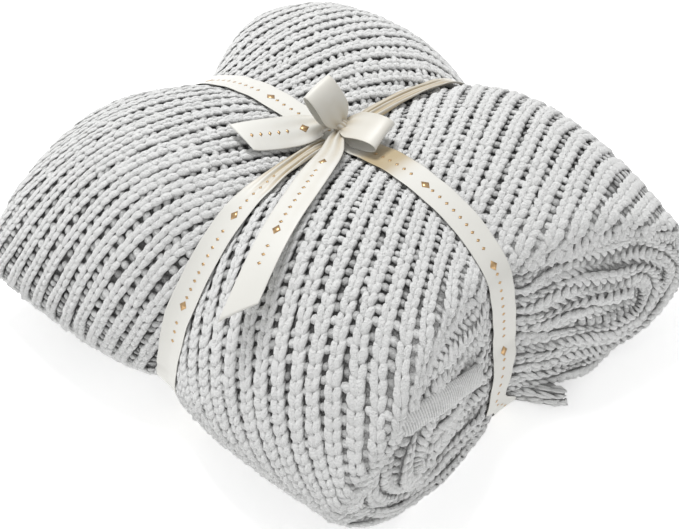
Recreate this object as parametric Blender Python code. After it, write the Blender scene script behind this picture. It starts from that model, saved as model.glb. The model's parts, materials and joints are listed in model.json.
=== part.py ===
"""A chunky knit throw blanket, folded into a four-lobed parcel and tied with a ribbon.

X runs across the ribs of the knit, Y along them, Z up from the surface that the parcel lies on.
The cloth is one solid: eight flat layers, wound over and over along Y. Everything is first laid
out on a plain block, WIDTH by DEPTH by HEIGHT, and parcel() then bends the block into its lobes.
"""

import math

import bmesh
import bpy
import numpy as np
from mathutils import Vector

# The folded block, before the ribbon draws it in
WIDTH = 0.400
DEPTH = 0.409
HEIGHT = 0.224
LAYERS = 8
LAYER_GAP = 0.0042
PITCH = (HEIGHT + LAYER_GAP) / LAYERS
HALF_LAYER = (PITCH - LAYER_GAP) / 2
TURN_REACH = 0.95          # a turn's depth along Y, over its half height
LEFT_CENTRE = TURN_REACH * HEIGHT / 2 - DEPTH / 2
RIGHT_CENTRE = DEPTH / 2 - TURN_REACH * (HEIGHT - PITCH) / 2

# The order in which the cloth passes through the layers, from its outer end to its inner end
FOLD_ORDER = (1, 8, 2, 7, 3, 6, 4, 5)
OUTER_END_Y = 0.042
INNER_END_Y = 0.100
SAG_LENGTH = 0.058         # past the outer end, the second layer comes down to the floor

# The ribs of the knit, and the columns of points across them
RIBS = 27
RIB_DEPTH = 0.0036
END_ROUNDING = 0.012
RIB_STEP = (WIDTH - 2 * END_ROUNDING) / (2 * RIBS)
PLAIN_STEPS = (0, 8, 16, 23, 25, 27, 29, 31, 38, 46, 54)
END_COLUMNS = ((0.0035, 0.80), (0.0, 0.38))       # distance in from the end, share of the thickness

# The ribbon, and the shallow groove that it has along the underside
RIBBON_WIDTH = 0.025
RIBBON_THICKNESS = 0.001
RIBBON_CLEARANCE = 0.0009
CROSSING_STEP = 0.0018
GROOVE_DEPTH = 0.0045
GROOVE_FLAT, GROOVE_REACH = 2 * RIB_STEP, 4 * RIB_STEP
RUN_STATIONS = (LEFT_CENTRE, -0.070, -GROOVE_REACH, -GROOVE_FLAT, 0.0, GROOVE_FLAT, GROOVE_REACH,
                0.045, 0.065, 0.090, RIGHT_CENTRE)

# How the ribbon and the cloth's own slump shape the parcel
SIDE_ROUNDING, SIDE_POWER = 0.055, 2.2
WAIST, WAIST_REACH = {"x": 0.193, "y": 0.134}, {"x": 0.355, "y": 0.200}
VALLEY, VALLEY_REACH = {"x": 0.141, "y": 0.144}, {"x": 0.265, "y": 0.313}
CROSSING_RISE = 0.036      # the cloth isn't pressed down twice where the two valleys meet
CROWN_DROP = {"x": 0.272, "y": 0.442}
CORNER_TAPER = 0.050
EDGE_LIFT, FLAT_SHARE = {"x": 0.003, "y": 0.014}, 0.55

# Each lobe's own swelling: its sides in X and Y, how much higher, how much further out in X and Y
LOBES = (
    {"name": "front", "x": 1, "y": -1, "higher": -0.010, "out_x": -0.003, "out_y": -0.027},
    {"name": "right", "x": 1, "y": 1, "higher": -0.031, "out_x": 0.029, "out_y": -0.024},
    {"name": "left", "x": -1, "y": -1, "higher": -0.028, "out_x": 0.006, "out_y": -0.010},
    {"name": "back", "x": -1, "y": 1, "higher": -0.082, "out_x": 0.049, "out_y": 0.011},
)
LOBE_CENTRE, LOBE_SPREAD = 0.6, 0.38
OFF_CENTRE = {"x": -0.0015, "y": 0.0005}     # the uneven lobes' own middle, taken off at the end

# The bow
KNOT_SIZE = (0.021, 0.019, 0.019)
KNOT_GAP = 0.0004
GATHERED_SHARE, GATHER_LENGTH = 0.42, 0.020
LOOPS = (
    {"name": "left loop", "reach": (-0.030, 0.003, 0.020), "side": (0.10, 0.94, 0.30), "opening": 0.018},
    {"name": "right loop", "reach": (0.038, 0.003, 0.009), "side": (-0.25, 0.92, 0.28), "opening": 0.016},
)
# Where each tail lies on the block, how high it is above the cloth, and how far it leans over
TAILS = (
    {"name": "short tail", "cut": 0.011, "start": (0.0020, 0.0010, 0.0035), "stations": (
        {"x": -0.0150, "y": -0.0110, "above": 0.0150, "lean": -0.0015},
        {"x": -0.0205, "y": -0.0290, "above": 0.0095, "lean": 0.0010},
        {"x": -0.027, "y": -0.0480, "above": 0.0062, "lean": 0.0025},
        {"x": -0.034, "y": -0.0620, "above": 0.0055, "lean": 0.0015},
        {"x": -0.0395, "y": -0.0735, "above": 0.0065, "lean": 0.0},
    )},
    {"name": "long tail", "cut": 0.022, "start": (-0.0015, 0.0035, -0.0048), "stations": (
        {"x": 0.0105, "y": -0.0190, "above": 0.0085, "lean": 0.0},
        {"x": 0.0250, "y": -0.0410, "above": 0.0078, "lean": 0.0},
        {"x": 0.0405, "y": -0.0655, "above": 0.0070, "lean": 0.0},
        {"x": 0.0507, "y": -0.0906, "above": 0.0050, "lean": 0.0},
        {"x": 0.0595, "y": -0.1150, "above": 0.0045, "lean": 0.0},
        {"x": 0.0668, "y": -0.1370, "above": 0.0045, "lean": 0.0},
        {"x": 0.0735, "y": -0.1560, "above": 0.0045, "lean": 0.0},
        {"x": 0.0790, "y": -0.1720, "above": 0.0050, "lean": 0.0},
    )},
)


def clear_scene():
    for obj in list(bpy.data.objects):
        bpy.data.objects.remove(obj)


def near(t, reach):
    """1 on a ribbon's line, falling off to both sides of it."""
    return 1 / (1 + (t / reach) ** 2)


def groove(t):
    """1 over the width of a ribbon, falling to 0 at the groove's edges."""
    return np.clip((GROOVE_REACH - np.abs(t)) / (GROOVE_REACH - GROOVE_FLAT), 0, 1)


def rim(t):
    """0 on the flat middle of the underside, 1 at its edge."""
    return (np.clip(np.abs(t) - FLAT_SHARE, 0, None) / (1 - FLAT_SHARE)) ** 2


def parcel(x, y, z):
    """Bends points of the block into the parcel. x, y and z are arrays of one shape."""
    u, v, c = x / (WIDTH / 2), y / (DEPTH / 2), 2 * z / HEIGHT - 1
    higher, out_x, out_y = 1.0, 1.0, 1.0
    for lobe in LOBES:
        du, dv = u - lobe["x"] * LOBE_CENTRE, v - lobe["y"] * LOBE_CENTRE
        higher = higher + lobe["higher"] * np.exp(-(du**2 + dv**2) / (2 * LOBE_SPREAD**2))
        inside = np.clip(lobe["x"] * u, 0, 1) * np.clip(lobe["y"] * v, 0, 1)
        out_x = out_x + lobe["out_x"] * inside
        out_y = out_y + lobe["out_y"] * inside
    px = x * out_x * (1 - SIDE_ROUNDING * np.abs(c) ** SIDE_POWER)
    px = px * (1 - WAIST["x"] * near(v, WAIST_REACH["x"])) * (1 - CORNER_TAPER * v**4)
    py = y * out_y * (1 - WAIST["y"] * near(u, WAIST_REACH["y"])) * (1 - CORNER_TAPER * u**4)
    valley_x, valley_y = near(u, VALLEY_REACH["x"]), near(v, VALLEY_REACH["y"])
    top = HEIGHT * higher * (1 - CROWN_DROP["x"] * np.abs(u) ** 3) * (1 - CROWN_DROP["y"] * np.abs(v) ** 3)
    top = top * ((1 - VALLEY["x"] * valley_x) * (1 - VALLEY["y"] * valley_y)
                 + CROSSING_RISE * (valley_x * valley_y) ** 2)
    bottom = EDGE_LIFT["x"] * rim(u) + EDGE_LIFT["y"] * rim(v) + GROOVE_DEPTH * (groove(x) + groove(y))
    pz = bottom + z / HEIGHT * (top - bottom)
    return np.stack([px - OFF_CENTRE["x"], py - OFF_CENTRE["y"], pz], axis=-1)


def sag(y, z):
    """Lets the block down onto the floor where the outermost layer has ended."""
    t = np.clip((y - OUTER_END_Y) / SAG_LENGTH, 0, 1)
    drop = PITCH * t * t * (3 - 2 * t)
    return HEIGHT * (z - drop) / (HEIGHT - drop)


def layer_height(layer):
    return (layer - 0.5) * PITCH - LAYER_GAP / 2


def fold_path():
    """The middle line of the cloth from its outer end to its inner one: rows of y, z, the
    direction of its outer face in y and z, and whether that face has its ribs raised."""
    rows = []
    for step, layer in enumerate(FOLD_ORDER):
        leftward = step % 2 == 0
        stations = sorted(RUN_STATIONS, reverse=leftward)
        if step == 0:
            stations = [OUTER_END_Y] + [y for y in stations if y < OUTER_END_Y - HALF_LAYER]
        if step == LAYERS - 1:
            stations = [y for y in stations if y < INNER_END_Y - HALF_LAYER] + [INNER_END_Y]
        z = layer_height(layer)
        rows += [(y, z, 0.0, -1 if leftward else 1, layer == LAYERS) for y in stations]
        if step < LAYERS - 1:
            rows += turn_rows(z, layer_height(FOLD_ORDER[step + 1]), leftward, step < 2)
    return rows


def turn_rows(z_from, z_to, leftward, ribbed):
    """The half turn from one layer to the next, without its two end points."""
    centre, side = (LEFT_CENTRE, -1) if leftward else (RIGHT_CENTRE, 1)
    middle, radius = (z_from + z_to) / 2, abs(z_to - z_from) / 2
    steps = 4 + round(radius / PITCH * 1.6)
    rows = []
    for k in range(1, steps):
        angle = math.pi * (k / steps - 0.5)
        across, up = math.cos(angle), math.sin(angle) * (1 if z_to > z_from else -1)
        facing = Vector((side * across, up * TURN_REACH)).normalized()
        rows.append((centre + side * TURN_REACH * radius * across, middle + radius * up,
                     facing.x, facing.y, ribbed))
    return rows


def rib_columns():
    """Across the cloth: x, share of the half thickness, 1 in the furrow between two ribs."""
    inner = [(RIB_STEP * (k - RIBS), 1.0, (k + 1) % 2) for k in range(2 * RIBS + 1)]
    right = [(WIDTH / 2 - inset, share, 0) for inset, share in END_COLUMNS]
    left = [(-x, share, 0) for x, share, _ in reversed(right)]
    return left + inner + right


def plain_stops():
    """The numbers, in rib_columns(), of the columns that a plain face keeps."""
    count = len(END_COLUMNS)
    last = 2 * RIBS + 2 * count
    return list(range(count)) + [count + k for k in PLAIN_STEPS] + list(range(last - count + 1, last + 1))


def row_points(row, columns, face, squeeze=1.0):
    """One row of points across the cloth, on its outer face (1) or its inner face (-1)."""
    y, z, facing_y, facing_z, ribbed = row
    x = np.array([column[0] for column in columns])
    half = HALF_LAYER * squeeze * np.array([column[1] for column in columns])
    if ribbed and face > 0:
        half = half - RIB_DEPTH * np.array([column[2] for column in columns])
    block_y = y + face * half * facing_y
    block_z = sag(block_y, z + face * half * facing_z)
    return parcel(x, block_y, block_z)


def add_fan(bm, fine, plain, stops):
    """Joins a row that has every column to one that has only those numbered in stops."""
    for k in range(len(stops) - 1):
        middle = (stops[k] + stops[k + 1]) // 2
        for j in range(stops[k], stops[k + 1]):
            bm.faces.new((fine[j], fine[j + 1], plain[k] if j < middle else plain[k + 1]))
        bm.faces.new((fine[middle], plain[k + 1], plain[k]))


def add_strip(bm, row_a, row_b, stops):
    """Joins two neighbouring rows of points."""
    if len(row_a) > len(row_b):
        add_fan(bm, row_a, row_b, stops)
    elif len(row_b) > len(row_a):
        add_fan(bm, row_b, row_a, stops)
    else:
        for k in range(len(row_a) - 1):
            bm.faces.new((row_a[k], row_a[k + 1], row_b[k + 1], row_b[k]))


def mesh_object(name, bm, material):
    bmesh.ops.recalc_face_normals(bm, faces=bm.faces)
    mesh = bpy.data.meshes.new(name)
    bm.to_mesh(mesh)
    bm.free()
    obj = bpy.data.objects.new(name, mesh)
    bpy.context.scene.collection.objects.link(obj)
    mesh.materials.append(material)
    mesh.shade_smooth()
    mesh.set_sharp_from_angle(angle=math.radians(30))
    return obj


def make_blanket(material):
    """The throw: one sheet, its layers a little apart, its ribs raised on the outer turn."""
    bm = bmesh.new()
    rows, columns, stops = fold_path(), rib_columns(), plain_stops()
    plain = [columns[k] for k in stops]
    outer, inner = [], []
    for number, row in enumerate(rows):
        squeeze = 0.55 if number in (0, len(rows) - 1) else 1.0
        shown = columns if row[4] else plain
        outer.append([bm.verts.new(p) for p in row_points(row, shown, 1, squeeze)])
        inner.append([bm.verts.new(p) for p in row_points(row, plain, -1, squeeze)])
    for k in range(len(rows) - 1):
        add_strip(bm, outer[k], outer[k + 1], stops)
        add_strip(bm, inner[k], inner[k + 1], stops)
        for end in (0, -1):
            bm.faces.new((outer[k][end], outer[k + 1][end], inner[k + 1][end], inner[k][end]))
    add_strip(bm, outer[0], inner[0], stops)
    add_strip(bm, outer[-1], inner[-1], stops)
    return mesh_object("blanket", bm, material)


def taut_outline(points):
    """The convex outline round some points, anticlockwise, with those on its straight runs."""
    points = sorted(set((round(a, 7), round(b, 7)) for a, b in points))

    def half_outline(ordered):
        kept = []
        for p in ordered:
            while len(kept) > 1 and turn_of(kept[-2], kept[-1], p) < -1e-10:
                kept.pop()
            kept.append(p)
        return kept[:-1]
    return half_outline(points) + half_outline(points[::-1])


def turn_of(a, b, c):
    """More than 0 where the way from a by b to c turns left."""
    return (b[0] - a[0]) * (c[1] - b[1]) - (b[1] - a[1]) * (c[0] - b[0])


def outline_normals(points):
    """The outward direction at each point of an anticlockwise outline."""
    p = np.array(points)
    along = np.roll(p, -1, axis=0) - np.roll(p, 1, axis=0)
    along = along / np.linalg.norm(along, axis=1)[:, None]
    return np.stack([along[:, 1], -along[:, 0]], axis=-1)


def profile_along():
    """The outer points of the cloth in Y and Z, for the ribbon that follows the ribs."""
    points = [(OUTER_END_Y + RIBBON_CLEARANCE, 0.0)]
    for y, z, facing_y, facing_z, _ in fold_path():
        edge_y, edge_z = y + HALF_LAYER * facing_y, z + HALF_LAYER * facing_z
        points.append((edge_y, float(sag(edge_y, edge_z))))
    return points


def profile_across():
    """The block's section in X and Z, for the ribbon that crosses the ribs."""
    points = []
    for number, (x, share, furrow) in enumerate(rib_columns()):
        rounding = HALF_LAYER * (1 - share)
        if not furrow:
            points.append((x, HEIGHT - rounding))
        if number in plain_stops():
            points.append((x, rounding))
    for layer in range(1, LAYERS + 1):
        points += [(side * WIDTH / 2, layer_height(layer)) for side in (-1, 1)]
    return points


def make_band(name, profile, axis, lifted, material):
    """A ribbon drawn tight round the parcel: along the ribs (axis 0) or across them (axis 1)."""
    outline = taut_outline(profile)
    normals = outline_normals(outline)
    sides = RIBBON_WIDTH * np.array([-0.5, 0.0, 0.5])
    bm = bmesh.new()
    rings = []
    for (t, z), (normal_t, normal_z) in zip(outline, normals):
        lift = RIBBON_CLEARANCE + (CROSSING_STEP * float(groove(t)) if lifted else 0.0)
        ring = []
        for height, across in ((lift, sides), (lift + RIBBON_THICKNESS, sides[::-1])):
            run = np.full(3, t + height * normal_t)
            up = np.full(3, z + height * normal_z)
            where = parcel(across, run, up) if axis == 0 else parcel(run, across, up)
            ring += [bm.verts.new(p) for p in where]
        rings.append(ring)
    for k, ring in enumerate(rings):
        following = rings[(k + 1) % len(rings)]
        for j in range(6):
            bm.faces.new((ring[j], ring[(j + 1) % 6], following[(j + 1) % 6], following[j]))
    return mesh_object(name, bm, material)


def strip_rings(middles, sides, facings, widths):
    """Rings of six points round a flat ribbon: its middle line, side and facing directions."""
    rings = []
    for middle, side, facing, width in zip(middles, sides, facings, widths):
        half = side * width / 2
        lift = facing * RIBBON_THICKNESS / 2
        rings.append([middle - half - lift, middle - lift, middle + half - lift,
                      middle + half + lift, middle + lift, middle - half + lift])
    return rings


def make_strip(name, rings, material):
    bm = bmesh.new()
    rows = [[bm.verts.new(p) for p in ring] for ring in rings]
    for a, b in zip(rows, rows[1:]):
        for j in range(6):
            bm.faces.new((a[j], a[(j + 1) % 6], b[(j + 1) % 6], b[j]))
    for end in (rows[0], rows[-1]):
        bm.faces.new((end[0], end[1], end[4], end[5]))
        bm.faces.new((end[1], end[2], end[3], end[4]))
    return mesh_object(name, bm, material)


def gathered(distance):
    """The ribbon's width at a distance from the knot, where it is pulled together."""
    t = min(1.0, max(0.0, distance / GATHER_LENGTH))
    return RIBBON_WIDTH * (GATHERED_SHARE + (1 - GATHERED_SHARE) * t * t * (3 - 2 * t))


def knot_centre():
    """The knot sits on the two ribbons where they cross."""
    stack = RIBBON_CLEARANCE + CROSSING_STEP + RIBBON_THICKNESS
    zero = np.zeros(1)
    crossing = Vector(parcel(zero, zero, zero + HEIGHT + stack)[0])
    return crossing + Vector((0, 0, KNOT_GAP + KNOT_SIZE[2] / 2))


def make_knot(material):
    bm = bmesh.new()
    bmesh.ops.create_uvsphere(bm, u_segments=20, v_segments=12, radius=0.5)
    centre = knot_centre()
    for vert in bm.verts:
        vert.co = Vector([a * size for a, size in zip(vert.co, KNOT_SIZE)]) + centre
    return mesh_object("bow", bm, material)


def make_loop(loop, material):
    """One loop of the bow: out from the knot, round its far bend and back in."""
    reach, side = Vector(loop["reach"]), Vector(loop["side"]).normalized()
    side = (side - reach * side.dot(reach) / reach.length_squared).normalized()
    up = reach.cross(side).normalized()
    up = up if up.z > 0 else -up
    steps = 22
    points, distances = [], []
    for k in range(steps + 1):
        angle = math.pi * (0.10 + 1.80 * k / steps)
        out = (1 - math.cos(angle)) / 2
        swell = math.sin(angle) * math.sin(angle / 2) ** 1.5
        points.append(knot_centre() + reach * out + up * (loop["opening"] / 2 * swell
                                                         + 0.0016 * math.cos(angle / 2)))
        distances.append(reach.length * out)
    facings = []
    for k in range(len(points)):
        along = points[min(k + 1, steps)] - points[max(k - 1, 0)]
        facings.append(along.cross(side).normalized())
    widths = [gathered(d) for d in distances]
    rings = strip_rings(points, [side] * len(points), facings, widths)
    return make_strip(loop["name"], rings, material)


def on_cloth(x, y, above):
    """A point above the top of the cloth, and the cloth's own upward direction there."""
    e = 0.002
    p, px, py = (parcel(np.array([a]), np.array([b]), np.array([HEIGHT]))[0]
                 for a, b in ((x, y), (x + e, y), (x, y + e)))
    up = Vector(np.cross(px - p, py - p)).normalized()
    return Vector(p) + up * above, up


def smooth_stations(stations, steps_each):
    """Points evenly between the rows of a table, on a smooth curve through all of them."""
    keys = ("x", "y", "above", "lean")
    table = np.array([[row[key] for key in keys] for row in stations])
    padded = np.vstack([2 * table[0] - table[1], table, 2 * table[-1] - table[-2]])
    points = []
    for k in range(len(table) - 1):
        a, b, c, d = padded[k:k + 4]
        for t in np.arange(steps_each) / steps_each:
            points.append(0.5 * (2 * b + (c - a) * t + (2 * a - 5 * b + 4 * c - d) * t**2
                                 + (3 * b - a - 3 * c + d) * t**3))
    return points + [table[-1]]


def make_tail(tail, material):
    """One tail of the bow: from inside the knot, over the cloth, to its slanting cut."""
    table = smooth_stations(tail["stations"], 4)
    placed = [on_cloth(x, y, above) for x, y, above, _ in table]
    middles = [knot_centre() + Vector(tail["start"])] + [p for p, _ in placed]
    ups = [Vector((0, 0, 1))] + [up for _, up in placed]
    leans = [0.0] + [row[3] for row in table]
    sides, facings, widths = [], [], []
    for k, (middle, up) in enumerate(zip(middles, ups)):
        along = (middles[min(k + 1, len(middles) - 1)] - middles[max(k - 1, 0)]).normalized()
        side = along.cross(up).normalized()
        side = (side + up * leans[k] / (RIBBON_WIDTH / 2)).normalized()
        sides.append(side)
        facings.append(side.cross(along).normalized())
        widths.append(gathered((middle - middles[0]).length))
    rings = strip_rings(middles, sides, facings, widths)
    slant_end(rings, (middles[-1] - middles[-2]).normalized(), tail["cut"])
    return make_strip(tail["name"], rings, material)


def slant_end(rings, along, cut):
    """Shears the last rings of a tail, so that its end is cut at a slant."""
    end = rings[-1][1]
    for ring in rings:
        share = max(0.0, 1 - (end - ring[1]).length / cut)
        for j, side in enumerate((-0.5, 0.0, 0.5, 0.5, 0.0, -0.5)):
            ring[j] = ring[j] + along * cut * share * side


def make_bow(material):
    """Knot, two loops and two tails, joined into one solid."""
    bow = make_knot(material)
    pieces = [make_loop(loop, material) for loop in LOOPS]
    pieces += [make_tail(tail, material) for tail in TAILS]
    bpy.context.view_layer.update()
    for piece in pieces:
        union = bow.modifiers.new("with " + piece.name, "BOOLEAN")
        union.operation, union.solver, union.object = "UNION", "EXACT", piece
        piece.hide_render = True
        piece.display_type = "WIRE"
    return bow


def new_material(name, color):
    material = bpy.data.materials.new(name)
    material.use_nodes = True
    material.diffuse_color = color
    material.node_tree.nodes["Principled BSDF"].inputs["Base Color"].default_value = color
    return material


clear_scene()
knit = new_material("knit", (0.62, 0.63, 0.63, 1))
satin = new_material("satin", (0.86, 0.83, 0.74, 1))
make_blanket(knit)
make_band("ribbon_along", profile_along(), 0, False, satin)
make_band("ribbon_across", profile_across(), 1, True, satin)
make_bow(satin)
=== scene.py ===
# %% [markdown]
# # A rib-knit throw, folded and tied with a satin ribbon
#
# This lesson dresses a plain engineering model of a folded throw. The model gives the size and the
# place of every piece. Here we knit the cloth stitch by stitch, give it a soft chenille yarn, and
# tie it with a creased ribbon. X runs across the ribs, Y along them, Z up. Lengths are in metres.

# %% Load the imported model
import json
import math

import bpy
import numpy as np
from mathutils import Matrix, Vector

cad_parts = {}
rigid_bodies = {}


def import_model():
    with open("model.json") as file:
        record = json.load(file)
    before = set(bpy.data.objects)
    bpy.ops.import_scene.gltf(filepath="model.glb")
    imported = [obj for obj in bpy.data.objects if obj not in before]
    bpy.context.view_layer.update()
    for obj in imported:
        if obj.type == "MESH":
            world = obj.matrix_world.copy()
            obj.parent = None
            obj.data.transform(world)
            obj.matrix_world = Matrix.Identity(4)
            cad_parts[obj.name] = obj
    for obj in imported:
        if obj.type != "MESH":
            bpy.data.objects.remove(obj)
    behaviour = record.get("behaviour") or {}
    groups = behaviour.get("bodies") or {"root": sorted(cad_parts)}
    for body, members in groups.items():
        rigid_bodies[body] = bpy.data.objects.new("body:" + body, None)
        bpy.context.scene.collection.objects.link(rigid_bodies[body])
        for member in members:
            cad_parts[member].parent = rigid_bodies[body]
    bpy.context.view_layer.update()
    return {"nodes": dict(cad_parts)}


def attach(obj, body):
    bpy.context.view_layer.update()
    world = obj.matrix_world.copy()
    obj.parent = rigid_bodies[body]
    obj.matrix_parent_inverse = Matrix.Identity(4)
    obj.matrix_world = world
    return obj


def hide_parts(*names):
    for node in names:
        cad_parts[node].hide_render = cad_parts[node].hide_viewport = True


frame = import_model()
print("nodes:", sorted(frame["nodes"]))

# %% [markdown]
# ## The camera
#
# The photograph looks down on one corner of the parcel from a little under two metres away, with
# a long lens, so that its far side is hardly smaller than its near side. We place the camera by
# angles round the parcel, which are easier to read and to correct than a position.

# %% Place the camera
VIEW_AZIMUTH, VIEW_ELEVATION, VIEW_DISTANCE = math.radians(44.9), math.radians(42.1), 1.698
LOOK_AT = Vector((0.0138, -0.0148, 0.063))
PHOTO_WIDTH_PX, FOCAL_LENGTH_PX, SENSOR_MM = 679, 2274, 36.0


def place_camera():
    back = Vector((math.sin(VIEW_AZIMUTH) * math.cos(VIEW_ELEVATION),
                   -math.cos(VIEW_AZIMUTH) * math.cos(VIEW_ELEVATION),
                   math.sin(VIEW_ELEVATION)))
    right = Vector((math.cos(VIEW_AZIMUTH), math.sin(VIEW_AZIMUTH), 0))
    turn = Matrix((right, back.cross(right), back)).transposed().to_4x4()
    data = bpy.data.cameras.new("photo_camera")
    data.sensor_width = SENSOR_MM
    data.lens = FOCAL_LENGTH_PX * SENSOR_MM / PHOTO_WIDTH_PX
    camera = bpy.data.objects.new("photo_camera", data)
    camera.matrix_world = Matrix.Translation(LOOK_AT + back * VIEW_DISTANCE) @ turn
    bpy.context.scene.collection.objects.link(camera)
    bpy.context.scene.camera = camera
    return camera


camera = place_camera()
print(f"lens {camera.data.lens:.1f} mm")

# %% [markdown]
# ## The shape of the parcel
#
# The real throw is pressed in by the ribbon along two lines, and swells into four lobes between
# them. One formula does this: it takes a point of a plain block and bends it. The engineering
# model was made with the same formula, so whatever we lay out on the plain block and bend with it
# lands on that model by itself. One thing is added here: near the floor, on the two sides that the
# photograph shows, the cloth sags outwards and its waist is less deep.

# %% Bend a plain block into the parcel
WIDTH, DEPTH, HEIGHT = 0.400, 0.409, 0.224
SIDE_ROUNDING, SIDE_POWER = 0.055, 2.2
WAIST, WAIST_REACH = {"x": 0.193, "y": 0.134}, {"x": 0.355, "y": 0.200}
VALLEY, VALLEY_REACH = {"x": 0.141, "y": 0.144}, {"x": 0.265, "y": 0.313}
FLOOR_SPREAD, SPREAD_HEIGHT, SPREAD_POWER = {"x": 0.36, "y": 0.46}, 0.11, 0.7
CROSSING_RISE = 0.036
CROWN_DROP = {"x": 0.272, "y": 0.442}
CORNER_TAPER = 0.050
EDGE_LIFT, FLAT_SHARE = {"x": 0.003, "y": 0.014}, 0.55
LOBES = (
    {"name": "front", "x": 1, "y": -1, "higher": -0.010, "out_x": -0.003, "out_y": -0.027},
    {"name": "right", "x": 1, "y": 1, "higher": -0.031, "out_x": 0.029, "out_y": -0.024},
    {"name": "left", "x": -1, "y": -1, "higher": -0.028, "out_x": 0.006, "out_y": -0.010},
    {"name": "back", "x": -1, "y": 1, "higher": -0.082, "out_x": 0.049, "out_y": 0.011},
)
LOBE_CENTRE, LOBE_SPREAD = 0.6, 0.38
OFF_CENTRE = {"x": -0.0015, "y": 0.0005}
RIBS = 27
END_ROUNDING = 0.012
RIB_PITCH = (WIDTH - 2 * END_ROUNDING) / RIBS
GROOVE_DEPTH, GROOVE_FLAT, GROOVE_REACH = 0.0045, RIB_PITCH, 2 * RIB_PITCH


def soft_step(t):
    """0 below 0, 1 above 1, and a smooth rise between them."""
    t = np.clip(t, 0, 1)
    return t * t * (3 - 2 * t)


def near(t, reach):
    """1 on a ribbon's line, falling off to both sides of it."""
    return 1 / (1 + (t / reach) ** 2)


def groove(t):
    """1 over the width of a ribbon, falling to 0 at the groove's edges."""
    return np.clip((GROOVE_REACH - np.abs(t)) / (GROOVE_REACH - GROOVE_FLAT), 0, 1)


def rim(t):
    """0 on the flat middle of the underside, 1 at its edge."""
    return (np.clip(np.abs(t) - FLAT_SHARE, 0, None) / (1 - FLAT_SHARE)) ** 2


def parcel(x, y, z):
    """Bends points of the block into the parcel. x, y and z are arrays of one shape."""
    u, v, c = x / (WIDTH / 2), y / (DEPTH / 2), 2 * z / HEIGHT - 1
    higher, out_x, out_y = 1.0, 1.0, 1.0
    for lobe in LOBES:
        du, dv = u - lobe["x"] * LOBE_CENTRE, v - lobe["y"] * LOBE_CENTRE
        higher = higher + lobe["higher"] * np.exp(-(du**2 + dv**2) / (2 * LOBE_SPREAD**2))
        inside = np.clip(lobe["x"] * u, 0, 1) * np.clip(lobe["y"] * v, 0, 1)
        out_x = out_x + lobe["out_x"] * inside
        out_y = out_y + lobe["out_y"] * inside
    low = np.clip(1 - z / SPREAD_HEIGHT, 0, 1) ** SPREAD_POWER
    waist_x = WAIST["x"] * (1 - FLOOR_SPREAD["x"] * low * (x > 0)) * near(v, WAIST_REACH["x"])
    waist_y = WAIST["y"] * (1 - FLOOR_SPREAD["y"] * low * (y < 0)) * near(u, WAIST_REACH["y"])
    rounded = 1 - SIDE_ROUNDING * np.abs(c) ** SIDE_POWER
    px = x * out_x * rounded * (1 - waist_x) * (1 - CORNER_TAPER * v**4)
    py = y * out_y * (1 - waist_y) * (1 - CORNER_TAPER * u**4)
    valley_x, valley_y = near(u, VALLEY_REACH["x"]), near(v, VALLEY_REACH["y"])
    crown = (1 - CROWN_DROP["x"] * np.abs(u) ** 3) * (1 - CROWN_DROP["y"] * np.abs(v) ** 3)
    valleys = (1 - VALLEY["x"] * valley_x) * (1 - VALLEY["y"] * valley_y)
    top = HEIGHT * higher * crown * (valleys + CROSSING_RISE * (valley_x * valley_y) ** 2)
    bottom = EDGE_LIFT["x"] * rim(u) + EDGE_LIFT["y"] * rim(v) + GROOVE_DEPTH * (groove(x) + groove(y))
    pz = bottom + z / HEIGHT * (top - bottom)
    return np.stack([px - OFF_CENTRE["x"], py - OFF_CENTRE["y"], pz], axis=-1)


print(f"block of {1000 * WIDTH:.0f} x {1000 * DEPTH:.0f} x {1000 * HEIGHT:.0f} mm, {len(LOBES)} lobes")

# %% [markdown]
# ## The way that the cloth is wound
#
# Eight layers lie on each other, and the cloth runs through them in one piece, turning over at
# both ends. We follow its middle line in side view and note, at each step, which way its outer
# face looks. After this, any stitch has an address: how far across the cloth, and how far along.

# %% Follow the cloth through its layers
LAYERS, LAYER_GAP, TURN_REACH = 8, 0.0042, 0.95
PITCH = (HEIGHT + LAYER_GAP) / LAYERS
HALF_LAYER = (PITCH - LAYER_GAP) / 2
LEFT_CENTRE = TURN_REACH * HEIGHT / 2 - DEPTH / 2
RIGHT_CENTRE = DEPTH / 2 - TURN_REACH * (HEIGHT - PITCH) / 2
FOLD_ORDER = (1, 8, 2, 7, 3, 6, 4, 5)
OUTER_END_Y, INNER_END_Y, SAG_LENGTH = 0.042, 0.1225, 0.058
PATH_STEP = 0.004


def sag(y, z):
    """Lets the block down onto the floor where the outermost layer has ended."""
    drop = PITCH * soft_step((y - OUTER_END_Y) / SAG_LENGTH)
    return HEIGHT * (z - drop) / (HEIGHT - drop)


def layer_height(layer):
    return (layer - 0.5) * PITCH - LAYER_GAP / 2


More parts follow.
